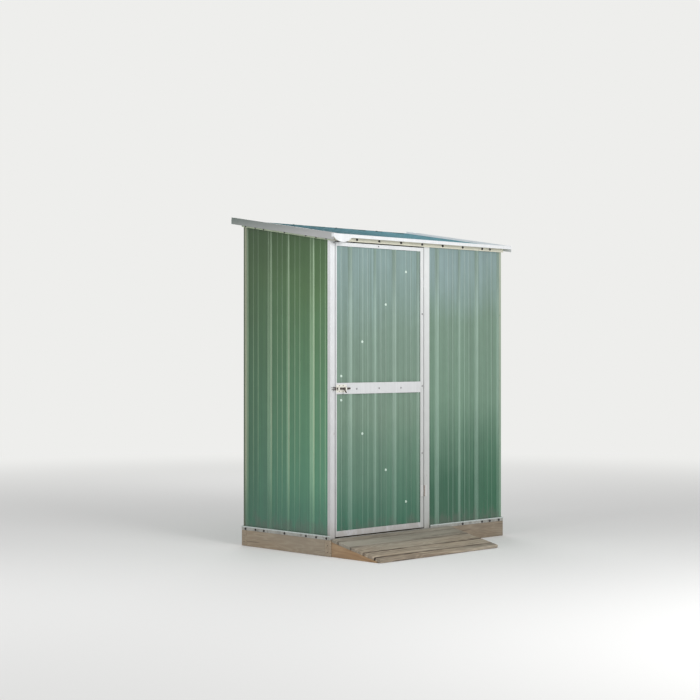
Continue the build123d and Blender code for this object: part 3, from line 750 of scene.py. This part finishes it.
def rolled_sheet(node, body, material):
    """A welded copy of a sheet with every rib fold rolled, standing for its node."""
    bm = bmesh.new()
    bm.from_mesh(nodes[node].data)
    bmesh.ops.remove_doubles(bm, verts=bm.verts, dist=WELD)
    bmesh.ops.dissolve_limit(bm, angle_limit=FLAT_WITHIN, verts=bm.verts, edges=bm.edges)
    folds = [e for e in bm.edges if is_fold(e)]
    bmesh.ops.bevel(bm, geom=folds, offset=ROLL_WIDTH, offset_type="OFFSET", segments=3, profile=0.5,
                    material=-1, affect="EDGES", clamp_overlap=False)
    add_piece(node + "_rolled", bm, body, [material], sharp_deg=50, replaces=[node])


def add_piece(name, bm, body, materials, sharp_deg=35, replaces=()):
    """Turn a bmesh into a finished object that rides on a body."""
    mesh = finish_mesh(bm, name, materials)
    mesh.polygons.foreach_set("use_smooth", [True] * len(mesh.polygons))
    mesh.set_sharp_from_angle(angle=math.radians(sharp_deg))
    piece = new_object(name, mesh)
    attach(piece, body)
    if replaces:
        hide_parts(*replaces)


for node, material in (("left_wall_sheet", paint_left), ("right_wall_sheet", paint_right),
                       ("back_wall_sheet_left", paint_back), ("back_wall_sheet_right", paint_back),
                       ("front_wall_sheet", paint_front)):
    rolled_sheet(node, "shed", material)
for node in ("roof_sheet_left", "roof_sheet_right"):
    rolled_sheet(node, "shed", paint_roof)
rolled_sheet("door_sheets", "door", paint_door)


# Fixings: each kind is one small template mesh, stamped wherever one is driven
def drum(bm, radius_low, radius_high, low, high, segments, material_index=0):
    """A disc or cone between two heights; gives back its new faces."""
    lift = Matrix.Translation((0, 0, (low + high) / 2))
    made = bmesh.ops.create_cone(bm, cap_ends=True, segments=segments, radius1=radius_low,
                                 radius2=radius_high, depth=high - low, matrix=lift)
    faces = {f for v in made["verts"] for f in v.link_faces}
    for face in faces:
        face.material_index = material_index
    return faces


def soften_top(bm, faces, top, width):
    """Bevel the edges of the highest face of a drum."""
    edges = {e for f in faces for e in f.edges if all(abs(v.co.z - top) < 1e-7 for v in e.verts)}
    bmesh.ops.bevel(bm, geom=list(edges), offset=width, offset_type="OFFSET", segments=2, profile=0.5,
                    material=-1, affect="EDGES")


def hex_screw_template(scale):
    """Roofing screw: rubber washer, dished steel washer and a six-sided head; scale widens it."""
    bm = bmesh.new()
    rubber_top, washer_top, top = 1.6 * MM, 2.8 * MM, 6.2 * MM
    drum(bm, 7.2 * MM * scale, 6.8 * MM * scale, 0.0, rubber_top, 18, material_index=1)
    drum(bm, 6.6 * MM * scale, 4.9 * MM * scale, rubber_top, washer_top, 18)
    head = drum(bm, 4.4 * MM * scale, 4.4 * MM * scale, washer_top, top, 6)
    soften_top(bm, head, top, 0.5 * MM)
    return finish_mesh(bm, "hex_screw")


def dome_template(radius, height, name, segments=16):
    """A domed head turned from its profile."""
    bm = bmesh.new()
    profile = [(radius, 0.0), (radius * 0.97, height * 0.3), (radius * 0.72, height * 0.75),
               (radius * 0.38, height * 0.95), (0.0, height)]
    verts = [bm.verts.new((x, 0.0, z)) for x, z in profile]
    edges = [bm.edges.new(pair) for pair in zip(verts, verts[1:])]
    bmesh.ops.spin(bm, geom=verts + edges, cent=(0, 0, 0), axis=(0, 0, 1), dvec=(0, 0, 0),
                   angle=math.tau, steps=segments, use_merge=True, use_duplicate=False)
    bmesh.ops.remove_doubles(bm, verts=bm.verts, dist=0.01 * MM)
    rim = [e for e in bm.edges if e.is_boundary]
    bmesh.ops.contextual_create(bm, geom=rim)
    bmesh.ops.recalc_face_normals(bm, faces=bm.faces)
    return finish_mesh(bm, name)


def low_head_template(radius, height, name):
    """A low round head, a little narrower at its flat top, with an eased rim."""
    bm = bmesh.new()
    head = drum(bm, radius, radius * 0.82, 0.0, height, 16)
    soften_top(bm, head, height, radius * 0.12)
    return finish_mesh(bm, name)


def stamp(bm, template, place, normal, turn):
    """Add a copy of a template that stands on a place and faces along a normal."""
    first = len(bm.verts)
    bm.from_mesh(template)
    bm.verts.ensure_lookup_table()
    facing = normal.to_track_quat("Z", "Y").to_matrix().to_4x4()
    matrix = Matrix.Translation(place) @ facing @ Matrix.Rotation(turn, 4, "Z")
    bmesh.ops.transform(bm, matrix=matrix, verts=bm.verts[first:])


def drive(name, template, places, body, materials):
    """One joined piece of like fixings at (place, normal) pairs, each turned by chance."""
    bm = bmesh.new()
    for place, normal in places:
        stamp(bm, template, place, normal, random.uniform(0, math.tau))
    add_piece(name, bm, body, materials)


hex_screw = hex_screw_template(scale=1.12)
door_rivet = dome_template(8.2 * MM, 3.0 * MM, "door_rivet")
small_rivet = dome_template(5.6 * MM, 2.1 * MM, "small_rivet", segments=12)
pan_screw = low_head_template(4.0 * MM, 2.0 * MM, "pan_screw")
tiny_screw = low_head_template(2.6 * MM, 1.3 * MM, "tiny_screw")
nail_head = low_head_template(3.2 * MM, 0.5 * MM, "nail_head")

FRONT, BACK = Vector((0, -1, 0)), Vector((0, 1, 0))
LEFT, RIGHT = Vector((-1, 0, 0)), Vector((1, 0, 0))
UP = Vector(roof_out)

# The screws' distances from the trims' feet, the roof and the walls, and a wide rib's groove
CHANNEL_SCREW_UP, HEADER_SCREW_UP, BACK_SCREW_UP = 8.6 * MM, 13.5 * MM, 11 * MM
SIDE_SCREW_DOWN = 17.5 * MM
ROOF_SCREW_OFF_BARGE, ROOF_SCREW_IN, WIDE_RIB_GROOVE = 12 * MM, 14 * MM, 2 * MM
# Brace rivets: from the walls' left corner, and up or down from where the braces meet, in mm
BRACE_RIVETS = ((96, 70), (269, 270), (467, 493), (642, 694))
BRACES_MEET_UP = 2 * MM
# Frame rivets in mm: along the middle rail from the walls' left corner, and up the hinge stile
RAIL_RIVETS, STILE_RIVETS = (214, 401, 588), (1411, 972, 563)
RAIL_RIVETS_DOWN, STILE_SHARE, TOP_RAIL_SCREW = 3 * MM, 0.6, 396 * MM
CORNER_RIVET_IN, CORNER_FIRST, CORNER_PITCH, CORNER_END = 9.5 * MM, 60 * MM, 420 * MM, 40 * MM
JAMB_SCREW_IN, JAMB_SCREW_DOWN = 7 * MM, 12 * MM
HINGE_SCREW_IN, HINGE_MIDDLE, HINGE_SCREW_PITCH = 9 * MM, 34 * MM, 23 * MM
BOLT_SCREW_IN, BOLT_SCREWS_X = 5.5 * MM, (-18 * MM, 14 * MM)
NAIL_IN, NAIL_SHARES, NAIL_STRAY, NAIL_SINK = 17.5 * MM, (0.22, 0.78), 3 * MM, 0.1 * MM
RIM_NAIL_IN, RIM_NAILS_Z = 22 * MM, (24 * MM, 64 * MM)


def channel_screws():
    """Dark roofing screws through the bottom channel's leg, none under the door."""
    z = channel_low.z + CHANNEL_SCREW_UP
    face = -channel_low.y - trim_t
    places = [(Vector((u - wall_x, -face, z)), FRONT) for u in screw_line[5:] + front_end_screws]
    places += [(Vector((u - wall_x, face, z)), BACK) for u in screw_line]
    side_face = -channel_low.x - trim_t
    for v in side_screws:
        places.append((Vector((-side_face, v - wall_y, z)), LEFT))
        places.append((Vector((side_face, v - wall_y, z)), RIGHT))
    drive("channel_screws", hex_screw, places, "shed", [dark_screw, rubber])


def header_screws():
    """The same screws along the front header and the three top channels."""
    z = header_low.z + HEADER_SCREW_UP
    places = [(Vector((u - wall_x, header_low.y, z)), FRONT) for u in screw_line + front_end_screws[:1]]
    back_low, back_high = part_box("top_channel_back")
    z = back_low.z + BACK_SCREW_UP
    places += [(Vector((u - wall_x, back_high.y, z)), BACK) for u in screw_line]
    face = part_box("top_channel_right")[1].x
    for v in side_screws:
        y = v - wall_y
        z = header_top(y) - SIDE_SCREW_DOWN
        places.append((Vector((-face, y, z)), LEFT))
        places.append((Vector((face, y, z)), RIGHT))
    drive("header_screws", hex_screw, places, "shed", [dark_screw, rubber])


def roof_screws():
    """Screws through the rib crests of the roof, over the front and back walls."""
    places = []
    crest = sheet_t + rib_height
    for k in range(-1, 5):
        for at, rise in ((0.0, crest - WIDE_RIB_GROOVE), (narrow_rib_at, crest)):
            x = roof_first_rib + k * rib_pitch + at - wall_x
            if abs(x) < wall_x - ROOF_SCREW_OFF_BARGE:
                for y in (-wall_y + ROOF_SCREW_IN, wall_y - ROOF_SCREW_IN):
                    places.append((Vector((x, y, header_top(y))) + UP * rise, UP))
    drive("roof_screws", hex_screw, places, "shed", [roof_trim, rubber])


def door_rivets():
    """Pale rivets that hold the two braces behind the door's sheets."""
    middle = mid_rail.z + BRACES_MEET_UP
    places = [(Vector((u * MM - wall_x, door_pan, middle + sign * rise * MM)), FRONT)
              for u, rise in BRACE_RIVETS for sign in (1, -1)]
    drive("door_rivets", door_rivet, places, "door", [pale_rivet])


def frame_rivets():
    """Grey rivets along the middle rail and down the hinge stile, and a dark screw in the top rail."""
    z = mid_rail.z - RAIL_RIVETS_DOWN
    places = [(Vector((u * MM - wall_x, door_front, z)), FRONT) for u in RAIL_RIVETS]
    stile_low, stile_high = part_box("door_hinge_stile")
    x = stile_low.x + (stile_high.x - stile_low.x) * STILE_SHARE
    places += [(Vector((x, door_front, z * MM)), FRONT) for z in STILE_RIVETS]
    drive("frame_rivets", small_rivet, places, "door", [grey_rivet])
    rail_low, rail_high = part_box("door_top_rail")
    head = Vector((TOP_RAIL_SCREW - wall_x, rail_low.y, (rail_low.z + rail_high.z) / 2))
    drive("top_rail_screw", pan_screw, [(head, FRONT)], "door", [dark_screw])


def corner_rivets():
    """Painted rivets down the corner angles, and one dark screw at the head of the left jamb."""
    places = []
    for name, normal in (("corner_angle_front_right", FRONT), ("corner_angle_back_left", BACK),
                         ("corner_angle_back_right", BACK)):
        low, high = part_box(name)
        x = low.x + CORNER_RIVET_IN if low.x > 0 else high.x - CORNER_RIVET_IN
        y = low.y if normal is FRONT else high.y
        for step in range(5):
            z = deck_top + CORNER_FIRST + step * CORNER_PITCH
            if z < high.z - CORNER_END:
                places.append((Vector((x, y, z)), normal))
    drive("corner_rivets", small_rivet, places, "shed", [green_rivet])
    jamb_low, jamb_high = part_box("left_jamb")
    head = Vector((jamb_high.x - JAMB_SCREW_IN, jamb_low.y, header_low.z - JAMB_SCREW_DOWN))
    drive("jamb_screw", pan_screw, [(head, FRONT)], "shed", [dark_screw])


def hinge_screws():
    """Three screws in each hinge leaf."""
    for node, body, sign in (("hinge_jamb_leaves", "shed", 1), ("hinge_door_leaves", "door", -1)):
        low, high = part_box(node)
        x = (high.x if sign > 0 else low.x) - sign * HINGE_SCREW_IN
        face = -wall_y - trim_t - fitting_t
        middles = (low.z + HINGE_MIDDLE, high.z - HINGE_MIDDLE)
        places = [(Vector((x, face, middle + step * HINGE_SCREW_PITCH)), FRONT)
                  for middle in middles for step in (-1, 0, 1)]
        drive(node + "_screws", tiny_screw, places, body, [white_trim])


def bolt_screws():
    """Four screws in the bolt's plate and two in its keeper."""
    for node, body in (("bolt_plate", "door"), ("bolt_keeper", "shed")):
        low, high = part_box(node)
        face = door_front - fitting_t
        z_places = (low.z + BOLT_SCREW_IN, high.z - BOLT_SCREW_IN)
        x_places = [(low.x + high.x) / 2 + x for x in BOLT_SCREWS_X]
        if node == "bolt_keeper":
            x_places = [low.x + BOLT_SCREW_IN]
        places = [(Vector((x, face, z)), FRONT) for x in x_places for z in z_places]
        drive(node + "_screws", tiny_screw, places, body, [rod_steel_dark_reflection])


def ramp_nails():
    """Two nails per board into each stringer, and nails in the ends of the base rims."""
    low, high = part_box("ramp_stringers")
    lines = (low.x + NAIL_IN, (low.x + high.x) / 2, high.x - NAIL_IN)
    places = []
    for start, end in ramp_edges:
        for share in NAIL_SHARES:
            for x in lines:
                shift = Vector((random.uniform(-NAIL_STRAY, NAIL_STRAY), 0, 0))
                base = Vector((x, ramp_head.y, RAMP_TOP)) + ramp_down * (start + (end - start) * share)
                places.append((base + shift - ramp_up * NAIL_SINK, ramp_up))
    base_low, base_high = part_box("base_rim_front")
    for side, normal in ((base_low.x, LEFT), (base_high.x, RIGHT)):
        for y in (base_low.y + RIM_NAIL_IN, -base_low.y - RIM_NAIL_IN):
            for z in RIM_NAILS_Z:
                places.append((Vector((side, y, z)), normal))
    drive("nails", nail_head, places, "shed", [nail_steel])


channel_screws()
header_screws()
roof_screws()
door_rivets()
frame_rivets()
corner_rivets()
hinge_screws()
bolt_screws()
ramp_nails()


# Studio, in metres
PALE = srgb(238, 238, 236)
FLOOR_HALF, FLOOR_DROP, FLOOR_FADE = 60.0, 0.5 * MM, (2.0, 9.0)


def studio_floor():
    """A wide pale floor that takes shadows near the shed and blends into the background far out."""
    bm = bmesh.new()
    bmesh.ops.create_grid(bm, x_segments=1, y_segments=1, size=FLOOR_HALF)
    bmesh.ops.translate(bm, verts=bm.verts, vec=(0, 0, -FLOOR_DROP))
    mesh = finish_mesh(bm, "studio_floor")
    floor = new_object("studio_floor", mesh)
    material = bpy.data.materials.new("floor_pale")
    material.use_nodes = True
    graph = Graph(material.node_tree)
    surface = material.node_tree.nodes["Principled BSDF"]
    surface.inputs["Base Color"].default_value = (0.78, 0.78, 0.775, 1)
    surface.inputs["Roughness"].default_value = 0.9
    surface.inputs["Specular IOR Level"].default_value = 0.1
    far = graph.add("ShaderNodeEmission", {"Color": PALE})
    reach = graph.add("ShaderNodeVectorMath", {0: graph.place()}, operation="LENGTH").outputs["Value"]
    blend = graph.add("ShaderNodeMixShader", {0: graph.ramp(reach, *FLOOR_FADE), 1: surface.outputs[0],
                                              2: far.outputs[0]})
    graph.feed(material.node_tree.nodes["Material Output"].inputs["Surface"], blend.outputs[0])
    mesh.materials.append(material)


def studio_world(level):
    """Even light all round; the camera, glossy and transmitted rays see the pale background."""
    world = bpy.data.worlds.new("studio")
    bpy.context.scene.world = world
    world.use_nodes = True
    graph = Graph(world.node_tree)
    world_out = world.node_tree.nodes["World Output"]
    light = world.node_tree.nodes["Background"]
    light.inputs["Color"].default_value = (1.0, 1.0, 1.0, 1.0)
    light.inputs["Strength"].default_value = level
    seen = graph.add("ShaderNodeBackground", {"Color": PALE, "Strength": 1.0})
    path = graph.add("ShaderNodeLightPath").outputs
    either = graph.math("MAXIMUM", path["Is Camera Ray"], path["Is Glossy Ray"])
    either = graph.math("MAXIMUM", either, path["Is Transmission Ray"])
    blend = graph.add("ShaderNodeMixShader", {0: either, 1: light.outputs[0], 2: seen.outputs[0]})
    graph.feed(world_out.inputs["Surface"], blend.outputs[0])


def softbox(name, place, aim, power, size=2.4):
    """A large square lamp turned to a point."""
    lamp = bpy.data.lights.new(name, "AREA")
    lamp.shape = "SQUARE"
    lamp.size = size
    lamp.energy = power
    holder = new_object(name, lamp)
    holder.location = place
    holder.rotation_euler = (Vector(aim) - Vector(place)).to_track_quat("-Z", "Y").to_euler()


def photo_camera():
    """The camera at the photograph's place, level, with the horizon a little below the middle."""
    data = bpy.data.cameras.new("camera")
    data.lens = CAMERA_LENS
    data.sensor_width = SENSOR_WIDTH
    data.shift_y = HORIZON_DROP
    camera = new_object("camera", data)
    camera.location = CAMERA_PLACE
    camera.rotation_euler = Vector(CAMERA_LOOKS).to_track_quat("-Z", "Y").to_euler()
    bpy.context.scene.camera = camera


studio_floor()
studio_world(level=0.52)
softbox("key", place=(-0.9, -5.6, 2.7), aim=(0.0, -0.2, 1.0), power=185.0)
softbox("fill", place=(-4.5, 0.2, 3.2), aim=(-0.6, 0.0, 1.0), power=60.0)
softbox("back", place=(3.4, 4.4, 3.4), aim=(0.2, 0.2, 1.0), power=60.0)
photo_camera()
bpy.context.scene.view_settings.view_transform = "Standard"
